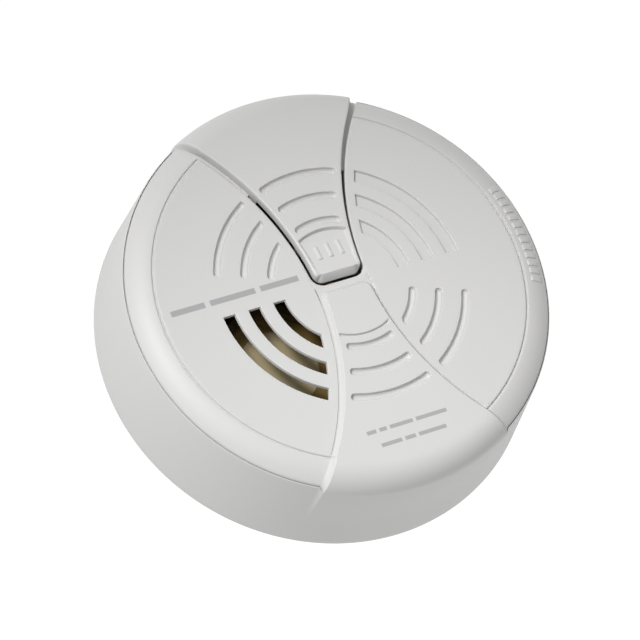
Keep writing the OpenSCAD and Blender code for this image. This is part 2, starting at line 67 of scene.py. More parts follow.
STOP = math.radians(20)          # where the narrow grooves end beside the wide slots
FACE_R = 53.0          # line groove round the face
RIM_C = (51.93, 24.517)
RIM_R = 12.0
WALL_TOP = (61.0, 32.2)
WALL_FOOT = (63.46, 1.9)
BEND_R = 53.9          # where the raised panels bend down over the rim
PANEL_ROUND = 7.2
PANEL_C = (54.5, PANEL_Z - PANEL_ROUND)
DISH_R = 16.8          # thumb dish of the button: far end, near end and depth
DISH_Y = 3.6
DISH_DEPTH = 1.2
DISH_INSET = 0.75      # distance of the dish from the button's sides
DISH_SOFT = 0.55       # width of the dish's soft edge
ARC = (DISH_R - 0.4, DISH_R + 0.5)   # sides of the arc that bounds the lower panel's pad
ARC_DEPTH = 0.7
BUTTON_END = 1.9
BUTTON_CORNER = 2.5
BUTTON_SIDE = (0.5, 0.4)    # width and height of the button's rounded long edges
BUTTON_NOSE = (1.6, 2.3)    # length and drop of its rounded end
BUTTON_FOOT = PANEL_Z - 2.6
SLIT_END = BUTTON_END - MOAT
PAD_END = 1.0          # distance of the lower panel from the centre
PAD_CORNER = 3.0
CREASE = 0.35          # depth of the crease at the foot of the lower panel
LIP = 0.25             # how far the face rounds down at the gap
HINGE_R = RINGS[2] - RING_SHIFT - NARROW
FILLET = 0.22
RIB = (1.3, 4.6, 0.42)   # width, length and height of the button's ribs
RIB_PITCH = 3.4
RIB_Y = 10.2
POST_Y = 20.0
DASH_ANGLES = np.arange(-15.0, 15.1, 2.5)
SHARP = math.radians(38)
INNER = 14             # mesh columns across half of a panel's middle, and of the button's
BUTTON_INNER = 16
ARC_START = 16.0       # radius where the mesh rows of a panel turn from lines into arcs
CUTS = (-0.22, -0.16, -0.09, -0.03, 0.0, 0.06, 0.12, 0.2)   # mesh lines across a slot's edge
BOWL = (0.3, 0.42, 0.6, 0.85)                               # further lines across a narrow groove
LINE_GROOVE = ((52.75, 0), (52.9, -0.03), (53.0, -0.13), (53.06, -0.4), (53.15, -0.55), (53.3, -0.6),
               (53.45, -0.55), (53.54, -0.42), (53.62, -0.2), (53.75, -0.14))
RIM_STEP = ((60.44, 32.75), (60.48, 32.2), (60.54, 32.02), (60.62, 32.02), (60.68, 32.2), (60.72, 32.52),
            (60.78, 32.6), (60.9, 32.56), WALL_TOP)
BACK_EDGE = ((63.4, 1.62), (63.2, 1.52), (61.6, 1.5), (61.4, 1.6), (61.35, 2.2), (61.2, 5.0), (61.0, 9.6))


# ---------- mesh helpers ----------
def grid_mesh(points, keep=None):
    """Vertices and quads of a grid of points, rows by columns; keep says which quads stay."""
    rows, cols = points.shape[:2]
    index = np.arange(rows * cols).reshape(rows, cols)
    quads = np.stack([index[:-1, :-1], index[:-1, 1:], index[1:, 1:], index[1:, :-1]], -1)
    quads = quads[keep] if keep is not None else quads.reshape(-1, 4)
    return points.reshape(-1, 3), quads


def build(name, parts, body, look):
    """One smooth-shaded object, in metres, from (vertices, quads) parts in millimetres."""
    verts, faces, base = [], [], 0
    for v, q in parts:
        verts.append(v)
        faces.extend((q + base).tolist())
        base += len(v)
    mesh = bpy.data.meshes.new(name)
    mesh.from_pydata((np.concatenate(verts) * 0.001).tolist(), [], faces)
    weld(mesh)
    mesh.shade_smooth()
    mesh.set_sharp_from_angle(angle=SHARP)
    obj = bpy.data.objects.new(name, mesh)
    bpy.context.scene.collection.objects.link(obj)
    mesh.materials.append(look)
    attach(obj, body)
    return obj


def weld(mesh):
    """Merges doubled vertices and drops faces without area and loose vertices."""
    bm = bmesh.new()
    bm.from_mesh(mesh)
    bmesh.ops.remove_doubles(bm, verts=bm.verts, dist=2e-6)
    bmesh.ops.dissolve_degenerate(bm, edges=bm.edges, dist=1e-6)
    loose = [v for v in bm.verts if not v.link_faces]
    bmesh.ops.delete(bm, geom=loose, context="VERTS")
    bm.to_mesh(mesh)
    bm.free()


def round_over(t):
    """Quarter circle: rises steeply from 0 at t = 0 and ends flat at 1 for t = 1."""
    return np.sqrt(np.clip(1 - (1 - np.clip(t, 0, 1)) ** 2, 0, 1))


def lip_depth(d):
    """Depth of the rounded lip of a groove at signed distance d inside its outline."""
    return FILLET - np.sqrt(np.maximum(FILLET ** 2 - np.clip(d + FILLET, 0, FILLET) ** 2, 0))


def cut_depth(d, deep):
    """Depth below a surface at signed distance d inside the outline of a flat-bottomed groove."""
    lip = lip_depth(d)
    wall = lip + np.clip(d / 0.12, 0, 1) * (deep - FILLET)
    return np.where(d > 0, wall, lip)


def bowl_depth(d, deep):
    """Depth at signed distance d inside the outline of a narrow groove with a round bottom."""
    return lip_depth(d) + (deep - FILLET) * round_over(d / (NARROW / 2))


def pill_distance(across, along):
    """Distance inside a groove's outline with half-round ends."""
    c = NARROW / 2
    round_end = c - np.hypot(c - across, c - along)
    return np.where((across < c) & (along < c), round_end, np.minimum(across, along))


def edge_angle(r, rho, centre=EDGE_X):
    """Angle from the Y axis at which the circle of radius r meets a panel edge circle of radius rho."""
    return np.arcsin(np.clip((r * r + centre ** 2 - rho ** 2) / (2 * centre * r), -1, 1))


def edge_distance(x, y):
    """Distance from the centre of the nearer panel edge circle."""
    return np.hypot(EDGE_X - np.abs(x), y)


def side_distance(x, y):
    """Distance in from the nearer side of the button panel."""
    return np.hypot(SIDE_X - np.abs(x), y) - SIDE_R


def round_corner(x, y, side, front, c):
    """Moves points near the two end corners so that the corners follow an arc of radius c."""
    u = np.clip(1 - side / c, 0, 1)
    v = np.clip(1 - front / c, 0, 1)
    pull = 1 - np.maximum(u, v) / np.maximum(np.hypot(u, v), 1e-9)
    pull = np.where((u > 0) & (v > 0), pull, 0)
    return x - np.sign(x) * c * u * pull, y + c * v * pull


# ---------- profiles: one row list shared by sectors and panels ----------
def radial_rows(start, shift=0.0):
    """Radii of the rows of the flat face, denser at the slot edges."""
    edges = set()
    for ring in RINGS:
        sides = ((ring, -1, CUTS + BOWL), (ring - WIDE, 1, CUTS), (ring - NARROW, 1, CUTS + BOWL))
        for edge, side, marks in sides:
            edges.update(round(edge - shift + side * c, 3) for c in marks)
    for edge in ARC:
        edges.update(round(edge + c, 3) for c in (-0.2, -0.08, 0, 0.08, 0.2))
    rows = sorted(edges)
    filled = [r for r in np.arange(start, FACE_R - 0.3, 0.9) if min(abs(r - e) for e in rows) > 0.3]
    return sorted(filled + [e for e in rows if e > start])


def rim_profile():
    """(r, z) of a sector from the line groove over the round rim and its step to the side wall."""
    profile = [(r, FACE_Z + dz) for r, dz in LINE_GROOVE]
    for a in np.linspace(9.6, 44.2, 14):
        turn = math.radians(a)
        profile.append((RIM_C[0] + RIM_R * math.sin(turn), RIM_C[1] + RIM_R * math.cos(turn)))
    return profile + list(RIM_STEP)


def panel_point(r, share):
    """(r, z) on a raised panel beside radius r of a sector, share of the way down the rim."""
    if r < BEND_R:
        return r, PANEL_Z
    turn = math.radians(90) * max(0.0, (r - BEND_R) / (WALL_TOP[0] - BEND_R)) + math.radians(3) * share
    turn = min(turn, math.radians(90))
    return PANEL_C[0] + PANEL_ROUND * math.sin(turn), PANEL_C[1] + PANEL_ROUND * math.cos(turn)


def gap_floor(profile, top):
    """(r, z) of the gap's floor under a sector's profile, whose side wall begins at index top."""
    floor_points = []
    for i, (r, z) in enumerate(profile):
        nr, nz = normal_at(profile, i)
        deep = MOAT_DEPTH * (1 - 0.6 * smooth(54, 60, r)) * (1 - smooth(0, 12, WALL_TOP[1] - z))
        on_rim = r > BEND_R - 0.1
        floor_points.append((r - nr * deep, z - nz * deep) if on_rim else (r, FACE_Z - MOAT_DEPTH))
    # The floor runs straight past the step at the rim's foot
    first = next(i for i, (r, z) in enumerate(profile) if r > 60.41) - 1
    for i in range(first + 1, top):
        share = (i - first) / (top - first)
        floor_points[i] = tuple(a + (b - a) * share for a, b in zip(floor_points[first], floor_points[top]))
    return floor_points


def rim_rows():
    """(sector r, z), (panel r, z), (gap floor r, z) beyond the flat face, down to the back edge."""
    profile = rim_profile()
    top = len(profile) - 1
    panel = [panel_point(r, i / top) for i, (r, z) in enumerate(profile)]
    for share in np.linspace(0, 1, 26)[1:]:
        z = WALL_TOP[1] + (WALL_FOOT[1] - WALL_TOP[1]) * share
        profile.append((wall_r(z), z))
        z = PANEL_C[1] + (WALL_FOOT[1] - PANEL_C[1]) * share
        panel.append((panel_r(z), z))
    sides = zip(profile, panel, gap_floor(profile, top))
    return np.array([s + p + m for s, p, m in sides] + [edge * 3 for edge in BACK_EDGE])


def wall_r(z):
    """Radius of the side wall at height z."""
    return WALL_FOOT[0] + (WALL_TOP[0] - WALL_FOOT[0]) * (z - WALL_FOOT[1]) / (WALL_TOP[1] - WALL_FOOT[1])


def panel_r(z):
    """Radius of a raised panel's side at height z: proud of the wall, fading out downwards."""
    return wall_r(z) + 0.57 * smooth(12, PANEL_C[1], z)


def smooth(a, b, x):
    """0 at a, 1 at b, with flat ends."""
    t = np.clip((x - a) / (b - a), 0, 1)
    return t * t * (3 - 2 * t)


def normal_at(profile, i):
    """Outward normal of a profile of (r, z) points at point i."""
    r0, z0 = profile[max(i - 1, 0)]
    r1, z1 = profile[min(i + 1, len(profile) - 1)]
    length = math.hypot(r1 - r0, z1 - z0)
    return -(z1 - z0) / length, (r1 - r0) / length


RIM = rim_rows()


# ---------- sectors ----------
def sector_columns(r):
    """Angles of the right sector's columns at radius r, falling from the upper edge to the lower one."""
    def up(rho):
        return math.pi / 2 - edge_angle(r, rho)
    near = [EDGE_R - c for c in (0, 0.05, 0.14, 0.3, 0.8, 1.6)]
    wide = [WIDE_END - c for c in CUTS]
    narrow = [NARROW_END - c for c in CUTS]
    bowl = [NARROW_END - c for c in reversed(BOWL)]
    cols = [up(rho) for rho in near + wide]
    cols += blend(cols[-1], level(r, 0.5), 34)
    cols += [level(r, c) for c in reversed(CUTS)]
    stop = [-STOP + np.arcsin(np.clip(-c / r, -1, 1)) for c in CUTS]
    cols += blend(cols[-1], stop[0] + 0.02, 14)
    cols += stop
    cols += [-STOP - c / r for c in BOWL]
    low = [-up(rho) for rho in reversed(near + narrow + bowl)]
    cols += blend(cols[-1], low[0], 26)
    cols += low
    limit = up(EDGE_R)
    return np.minimum.accumulate(np.clip(np.array(cols), -limit, limit))


def level(r, y):
    """Angle of the point at radius r and height y."""
    return math.asin(max(-1.0, min(1.0, y / r)))


def blend(a, b, n):
    """n angles strictly between a and b."""
    return [a + (b - a) * (i + 1) / (n + 1) for i in range(n)]


def sector_depth(x, y, r, open_slots):
    """Depth of the slots and grooves of the right sector below its face."""
    rho = edge_distance(x, y)
    depth = np.zeros_like(x)
    slant = -(x * math.sin(STOP) + y * math.cos(STOP))
    for ring in RINGS:
        across = np.minimum(r - (ring - WIDE), ring - r)
        wide = np.minimum(np.minimum(across, y), WIDE_END - rho)
        depth = np.maximum(depth, cut_depth(wide, OPEN_DEPTH if open_slots else WIDE_DEPTH))
        across = np.minimum(r - (ring - NARROW), ring - r)
        thin = pill_distance(across, np.minimum(slant, NARROW_END - rho))
        depth = np.maximum(depth, bowl_depth(thin, GROOVE_DEPTH))
    return depth


def sector_grid(radii, open_slots):
    """Points of the right sector's face, rim and side wall, one row for each radius."""
    rows = []
    for r in radii:
        a = sector_columns(r)
        x, y = r * np.cos(a), r * np.sin(a)
        rows.append(np.stack([x, y, FACE_Z - sector_depth(x, y, r, open_slots)], -1))
    for row in RIM:
        a = sector_columns(row[0])
        rows.append(np.stack([row[0] * np.cos(a), row[0] * np.sin(a), np.full_like(a, row[1])], -1))
    return np.array(rows)


def soften_edges(face, gap_side):
    """Rounds the lip beside the button panel and sinks a crease along the lower panel."""
    rho = edge_distance(face[..., 0], face[..., 1])
    lip = LIP * smooth(EDGE_R - 0.3, EDGE_R, rho) ** 2
    crease = CREASE * smooth(EDGE_R - 0.35, EDGE_R, rho)
    face[..., 2] -= np.where(face[..., 1] * gap_side > 0, lip, crease)


def slot_openings(p, inner):
    """Which quads of a sector stay once the wide slots among its inner rows are open."""
    middle = 0.25 * (p[:-1, :-1, 2] + p[1:, :-1, 2] + p[:-1, 1:, 2] + p[1:, 1:, 2])
    flat = np.arange(len(p) - 1)[:, None] < inner
    wide = (p[:-1, :-1, 1] > -0.01) & flat
    return ~((middle < FACE_Z - OPEN_DEPTH + 0.05) & wide)


def gap_wall(edge, radii):
    """The wall that goes down from a sector's edge to the floor of the gap."""
    foot = edge.copy()
    for i, (x, y) in enumerate(edge[:, :2]):
        if i < len(radii):
            foot[i, 2] = FACE_Z - (SHELL if radii[i] < RINGS[2] + 0.1 else MOAT_DEPTH + 0.2)
        else:
            row = RIM[i - len(radii)]
            a = math.atan2(y, x)
            foot[i] = (row[4] * math.cos(a), row[4] * math.sin(a), row[5] - 0.1 * (row[0] < WALL_TOP[0]))
    return grid_mesh(np.stack([edge, foot], 1))


def sector(turned):
    """The right sector, or when turned the left one with its open slots, and the wall of its gap."""
    radii = [8.02, 8.1, 8.3, 8.6, 9.2, 10.0] + radial_rows(10.6)
    p = sector_grid(radii, turned)
    soften_edges(p[:len(radii)], -1 if turned else 1)
    keep = slot_openings(p, len(radii)) if turned else None
    parts = [grid_mesh(p, keep), gap_wall(p[:, -1 if turned else 0], radii)]
    if turned:
        parts = [(v * np.array([-1, -1, 1]), q) for v, q in parts]
    return parts


# ---------- panels ----------
def panel_columns(centre, marks):
    """(centre, radius) of the circles that a panel's side columns follow, from the edge inwards."""
    ends = [(EDGE_X, PANEL_GROOVE_END + c) for c in CUTS + BOWL]
    return [(centre, rho) for rho in marks] + ends


def panel_xy(row, columns, inner_count, line_y):
    """Points of one panel row, x from minus to plus. row is ("arc", r) or ("line", t)."""
    kind, value = row
    shares = np.linspace(0, 1, inner_count + 1)[1:]
    r = value if kind == "arc" else ARC_START
    angles = np.minimum.accumulate([edge_angle(r, rho, centre) for centre, rho in columns])
    angles = np.concatenate([angles, angles[-1] * (1 - shares)])
    x, y = r * np.sin(angles), r * np.cos(angles)
    if kind == "line":
        y = line_y + (y - line_y) * value
        side = [centre - math.sqrt(rho ** 2 - yy ** 2) for (centre, rho), yy in zip(columns, y)]
        side = np.minimum.accumulate(side)
        centre, rho = columns[-1]
        inside = (centre - np.sqrt(rho ** 2 - y[len(columns):] ** 2)) * (1 - shares)
        x = np.concatenate([side, inside])
    return np.concatenate([-x, x[-2::-1]]), np.concatenate([y, y[-2::-1]])


def panel_grooves(x, y, r, shift, pad):
    """Depth of the narrow grooves across a panel, and of the arc that bounds the lower panel's pad."""
    rho = edge_distance(x, y)
    depth = np.zeros_like(x)
    for ring in RINGS:
        across = np.minimum(r + shift - (ring - NARROW), ring - shift - r)
        depth = np.maximum(depth, bowl_depth(pill_distance(across, rho - PANEL_GROOVE_END), GROOVE_DEPTH))
    if pad:
        d = np.minimum(np.minimum(r - ARC[0], ARC[1] - r), rho - EDGE_R - 1.9)
        depth = np.maximum(depth, cut_depth(d, ARC_DEPTH))
    return depth


def lower_panel():
    """The raised lower panel with sloped sides, its grooves, rim and side."""
    slope_marks = (0, 0.06, 0.14, 0.3, 0.6, 0.9, 1.1, 1.22, 1.3, 1.38, 1.6, 2.0, 2.4)
    columns = panel_columns(EDGE_X, [EDGE_R + c for c in slope_marks])
    line = (0, 0.004, 0.01, 0.02, 0.04, 0.06, 0.073, 0.081, 0.087, 0.093, 0.105, 0.12, 0.15, 0.18, 0.21)
    rows = [("line", t) for t in line + (0.3, 0.4, 0.5, 0.6, 0.7, 0.8, 0.9)]
    rows += [("arc", r) for r in [ARC_START] + radial_rows(ARC_START + 0.05)]
    out = []
    for row in rows:
        x, y = panel_xy(row, columns, INNER, PAD_END)
        side = edge_distance(x, y) - EDGE_R
        rise = np.minimum(slope_rise(side), slope_rise(y - PAD_END))
        z = FACE_Z + rise * PANEL_RISE - panel_grooves(x, y, np.hypot(x, y), 0, True)
        z -= CREASE * (1 - smooth(0, 0.2, np.minimum(side, y - PAD_END)))
        x, y = round_corner(x, y, side, y - PAD_END, PAD_CORNER)
        out.append(np.stack([x, y, z], -1))
    for row in RIM:
        x, y = panel_xy(("arc", row[0]), columns, INNER, PAD_END)
        w = slope_rise(edge_distance(x, y) - EDGE_R)
        out.append(rim_points(row, x, y, w, np.zeros_like(w)))
    p = np.array(out)
    p[..., 1] *= -1
    return [grid_mesh(p[:, ::-1])]


def slope_rise(d):
    """Share of the panel's rise at distance d in from its edge: a slope with a soft foot and shoulder."""
    t = np.clip(d / SLOPE, 0, 1.0)
    return np.clip(1.08 * t - 0.04 + 0.06 * np.cos(t * 2 * math.pi) - 0.02, 0, 1) * (t < 1) + (t >= 1)


def rim_points(row, x, y, w, m):
    """Points of a rim row between the sector, panel (w) and gap floor (m) profiles."""
    a = np.arctan2(y, x)
    rr = row[0] * (1 - w - m) + row[2] * w + row[4] * m
    z = row[1] * (1 - w - m) + row[3] * w + row[5] * m
    return np.stack([rr * np.cos(a), rr * np.sin(a), z], -1)


def fixed_panel():
    """The fixed outer part of the button panel, with the blind gap on both sides of it."""
    columns = [(EDGE_X, EDGE_R), (EDGE_X, EDGE_R + 0.02)]
    columns += panel_columns(SIDE_X, [SIDE_R + c for c in (-0.1, -0.05, 0, 0.05, 0.12, 0.25, 0.45, 0.9)])
    top = np.array([0, 0, 0, 0.35, 0.7, 0.85, 0.93, 0.98, 1, 1])
    floor = np.array([1, 1, 1, 0.65, 0.3, 0.15, 0.07, 0.02, 0, 0])
    rest = np.ones(len(columns) - len(top) + INNER)
    w = np.concatenate([top, rest, rest[1:], top[::-1]])
    m = np.concatenate([floor, 0 * rest, 0 * rest[1:], floor[::-1]])
    radii = [HINGE_R] + sorted(radial_rows(HINGE_R + 0.01, RING_SHIFT) + [RINGS[2]])
    out = []
    for r in radii:
        x, y = panel_xy(("arc", r), columns, INNER, 0)
        z = FACE_Z + w * PANEL_RISE - m * MOAT_DEPTH
        groove = panel_grooves(x, y, r + 0 * x, RING_SHIFT, False)
        out.append(np.stack([x, y, z - groove * (w > 0.99)], -1))
    for row in RIM:
        x, y = panel_xy(("arc", row[0]), columns, INNER, 0)
        out.append(rim_points(row, x, y, w, m))
    p = np.array(out)
    # The gap is open where it runs beside the button and the land next to it
    last = radii.index(RINGS[2])
    gap = ((m[:-1] > 0.9) & (m[1:] > 0.9))[None, :]
    opened = (np.arange(len(p) - 1) < last)[:, None] & gap
    parts = [grid_mesh(p, ~opened), grid_mesh(np.stack([dropped(p[0]), p[0]]), ~gap)]
    for column in (2, p.shape[1] - 3):
        wall = p[:last + 1, column]
        parts.append(grid_mesh(np.stack([wall, dropped(wall)])))
    for gap_columns in (slice(0, 3), slice(-3, None)):
        wall = p[last, gap_columns]
        parts.append(grid_mesh(np.stack([wall, dropped(wall)])))
    return parts


def dropped(edge):
    """The points of an edge moved down to the inside of the cover."""
    low = edge.copy()
    low[:, 2] = FACE_Z - SHELL
    return low


def waist_strip():
    """The flat strip between the button's end and the lower panel, which also fills that panel's corners."""
    y = np.array([SLIT_END, SLIT_END, SLIT_END - 0.05, SLIT_END - 0.2, 0.3, 0, -0.5, -PAD_END, -2, -3, -4.5])
    z = FACE_Z - np.array([SHELL, 0.22, 0.08] + [0.002] * 8)
    half = EDGE_X - np.sqrt(EDGE_R ** 2 - y ** 2) + 0.1
    u = np.linspace(-1, 1, 25)
    return [grid_mesh(np.stack([half[:, None] * u, y[:, None] + 0 * u, z[:, None] + 0 * u], -1)[:, ::-1])]


def slit_corners():
    """The two rounded inner corners of the slit round the button."""
    c = BUTTON_CORNER + MOAT
    cy = SLIT_END + c
    cx = EDGE_X - math.sqrt((EDGE_R + c) ** 2 - cy ** 2)
    a = np.radians(np.linspace(-90, 0, 25))
    down = (cy - SLIT_END + 0.3) / np.maximum(np.sin(-a), 1e-3)
    out = (8.35 - cx) / np.maximum(np.cos(a), 1e-3)
    reach = np.maximum(np.minimum(down, out), c + 0.3)
    rows = [(c, -SHELL), (c, -0.22), (c + 0.05, -0.08), (c + 0.2, 0.003)]
    points = [np.stack([cx + r * np.cos(a), cy + r * np.sin(a), FACE_Z + z + 0 * a], -1) for r, z in rows]
    points.append(np.stack([cx + reach * np.cos(a), cy + reach * np.sin(a), FACE_Z + 0.003 + 0 * a], -1))
    right = grid_mesh(np.array(points))
    left = grid_mesh(np.array(points)[:, ::-1])
    return [right, (left[0] * np.array([-1, 1, 1]), left[1])]


# ---------- button ----------
def button_top(x, y, r):
    """Height of the button's top: rounded sides and end, grooves and the thumb dish."""
    side = side_distance(x, y)
    z = PANEL_Z - BUTTON_SIDE[1] * (1 - round_over(side / BUTTON_SIDE[0]))
    front = np.clip((y - BUTTON_END) / BUTTON_NOSE[0], 0, 1)
    z = z - BUTTON_NOSE[1] * (1 - front) ** 1.15
    z = z - panel_grooves(x, y, r, RING_SHIFT, False)
    inside = np.minimum(side - DISH_INSET, DISH_R - r)
    slope = DISH_DEPTH * np.clip((y - DISH_Y) / (DISH_R - DISH_Y), 0, 1)
    return z - slope * smooth(0, DISH_SOFT, inside)


def button():
    """The button plate with its skirt, its tactile ribs and the post that reaches the switch."""
    marks = (0, 0.02, 0.06, 0.12, 0.22, 0.36, 0.5, 0.74, 0.85, 0.97, 1.09, 1.2, 1.31)
    columns = panel_columns(SIDE_X, [SIDE_R + c for c in marks])
    line = [0, 0.003, 0.008, 0.016, 0.028, 0.045, 0.07, 0.095, 0.12, 0.15]
    line += list(np.linspace(0.2, 0.95, 12))
    arcs = [ARC_START, 16.15, 16.25, 16.35, 16.45, 16.55, 16.65, DISH_R]
    arcs += [r for r in radial_rows(16.95, RING_SHIFT) if r < HINGE_R - 0.02]
    out = []
    for row in [("line", t) for t in line] + [("arc", r) for r in arcs + [HINGE_R]]:
        x, y = panel_xy(row, columns, BUTTON_INNER, BUTTON_END)
        z = button_top(x, y, np.hypot(x, y))
        x, y = round_corner(x, y, side_distance(x, y), y - BUTTON_END, BUTTON_CORNER)
        out.append(np.stack([x, y, z], -1))
    p = np.array(out)
    ring = np.concatenate([p[0], p[1:, -1], p[-1, -2::-1], p[-2::-1, 0]])
    low = ring.copy()
    low[:, 2] = BUTTON_FOOT
    under = p.copy()
    under[..., 2] = BUTTON_FOOT
    parts = [grid_mesh(p), grid_mesh(np.stack([low, ring])), grid_mesh(under[::-1])]
    parts += [rib(x, RIB_Y) for x in (-RIB_PITCH, 0.0, RIB_PITCH)]
    parts.append(lathe([(0, 20.6), (1.6, 20.6), (2.0, 21.0), (2.0, BUTTON_FOOT)], (0, POST_Y), 40))
    return parts


def rib(cx, cy):
    """A soft-edged raised rib along Y that sits on the floor of the thumb dish."""
    width, length, height = RIB
    u = np.array([-1, -0.97, -0.88, -0.72, -0.4, 0, 0.4, 0.72, 0.88, 0.97, 1])
    gx, gy = np.meshgrid(cx + u * width / 2, cy + u * length / 2)
    dx = width / 2 - np.abs(gx - cx)
    dy = length / 2 - np.abs(gy - cy)
    rise = height * round_over(np.minimum(dx, dy) / 0.4)
    return grid_mesh(np.stack([gx, gy, button_top(gx, gy, np.hypot(gx, gy)) + rise - 0.02], -1))


def lathe(profile, centre, steps):
    """A turned surface about a vertical axis."""
    a = np.linspace(0, 2 * math.pi, steps + 1)
    rows = [np.stack([centre[0] + r * np.cos(a), centre[1] + r * np.sin(a), np.full_like(a, z)], -1)
            for r, z in profile]
    return grid_mesh(np.array(rows)[:, ::-1])


def rim_dash(angle):
    """One plain raised dash on the right-hand rim."""
    u = np.array([-1, -0.96, -0.85, -0.6, 0, 0.6, 0.85, 0.96, 1])
    across, along = np.meshgrid(u, u)
    reach = RIM_R - 0.02 + 0.3 * round_over((1 - np.maximum(abs(across), abs(along))) / 0.3)
    turn = np.radians(25.5 + 9.0 * across)
    a = np.radians(angle + 0.85 * along)
    radius = RIM_C[0] + reach * np.sin(turn)
    z = RIM_C[1] + reach * np.cos(turn)
    return grid_mesh(np.stack([radius * np.cos(a), radius * np.sin(a), z], -1))


def printed_bar(x0, x1, y, height, z):
    """A thin printed bar on a flat surface."""
    gx, gy = np.meshgrid(np.linspace(x0, x1, 3), np.linspace(y, y + height, 3))
    return grid_mesh(np.stack([gx, gy, np.full_like(gx, z + 0.015)], -1))


def print_left():
    """A plain row of bars in place of the printed line on the left sector."""
    bars = ((-50.0, -39.8), (-38.2, -24.6), (-23.0, -11.4))
    return [printed_bar(x0, x1, 4.2, 1.7, FACE_Z) for x0, x1 in bars]


def print_lower():
    """Two plain rows of bars in place of the printed lines on the lower panel."""
    rows = ((-45.2, ((-12.4, -9.6), (-8.6, -6.4), (-5.4, 1.6), (2.6, 12.0))),
            (-49.6, ((-9.8, -3.6), (-2.6, 0.6), (1.6, 10.0))))
    return [printed_bar(x0, x1, y, 1.1, PANEL_Z) for y, bars in rows for x0, x1 in bars]


# ---------- materials ----------
def noise(tree, where, scale, detail):
    """A noise texture on the object's own coordinates."""
    texture = tree.nodes.new("ShaderNodeTexNoise")
    texture.inputs["Scale"].default_value = scale
    texture.inputs["Detail"].default_value = detail
    tree.links.new(where.outputs["Object"], texture.inputs["Vector"])
    return texture.outputs["Fac"]


def ranged(tree, value, middle, swing):
    """The value spread over middle minus swing to middle plus swing."""
    node = tree.nodes.new("ShaderNodeMapRange")
    node.inputs["To Min"].default_value = middle - swing
    node.inputs["To Max"].default_value = middle + swing
    tree.links.new(value, node.inputs["Value"])
    return node.outputs["Result"]


def tinted(tree, color, amount):
    """The colour multiplied by a varying amount."""
    mix = tree.nodes.new("ShaderNodeMix")
    mix.data_type = "RGBA"
    mix.blend_type = "MULTIPLY"
    mix.inputs["Factor"].default_value = 1.0
    mix.inputs["A"].default_value = (*color, 1)
    tree.links.new(amount, mix.inputs["B"])
    return mix.outputs["Result"]


def grain_normal(tree, height, strength):
    """A fine relief of the surface."""
    relief = tree.nodes.new("ShaderNodeBump")
    relief.inputs["Strength"].default_value = strength
    relief.inputs["Distance"].default_value = 0.0001
    tree.links.new(height, relief.inputs["Height"])
    return relief.outputs["Normal"]


def material(name, color, rough, metallic=0.0, bump=0.0, scale=900.0, vary=0.03, coat=0.0, sss=0.0):
    """A moulded or metal finish: colour with a slow variation, and a fine grain in bump and roughness."""
    mat = bpy.data.materials.new(name)
    mat.use_nodes = True
    tree = mat.node_tree
    bsdf = tree.nodes["Principled BSDF"]
    bsdf.inputs["Metallic"].default_value = metallic
    bsdf.inputs["Coat Weight"].default_value = coat
    bsdf.inputs["Subsurface Weight"].default_value = sss
    bsdf.inputs["Subsurface Scale"].default_value = 0.002
    where = tree.nodes.new("ShaderNodeTexCoord")
    slow = noise(tree, where, 22.0, 3.0)
    fine = noise(tree, where, scale, 4.0)
    tree.links.new(tinted(tree, color, ranged(tree, slow, 1, vary)), bsdf.inputs["Base Color"])
    tree.links.new(ranged(tree, fine, rough, 0.06), bsdf.inputs["Roughness"])
    if bump:
        tree.links.new(grain_normal(tree, fine, bump), bsdf.inputs["Normal"])
    return mat


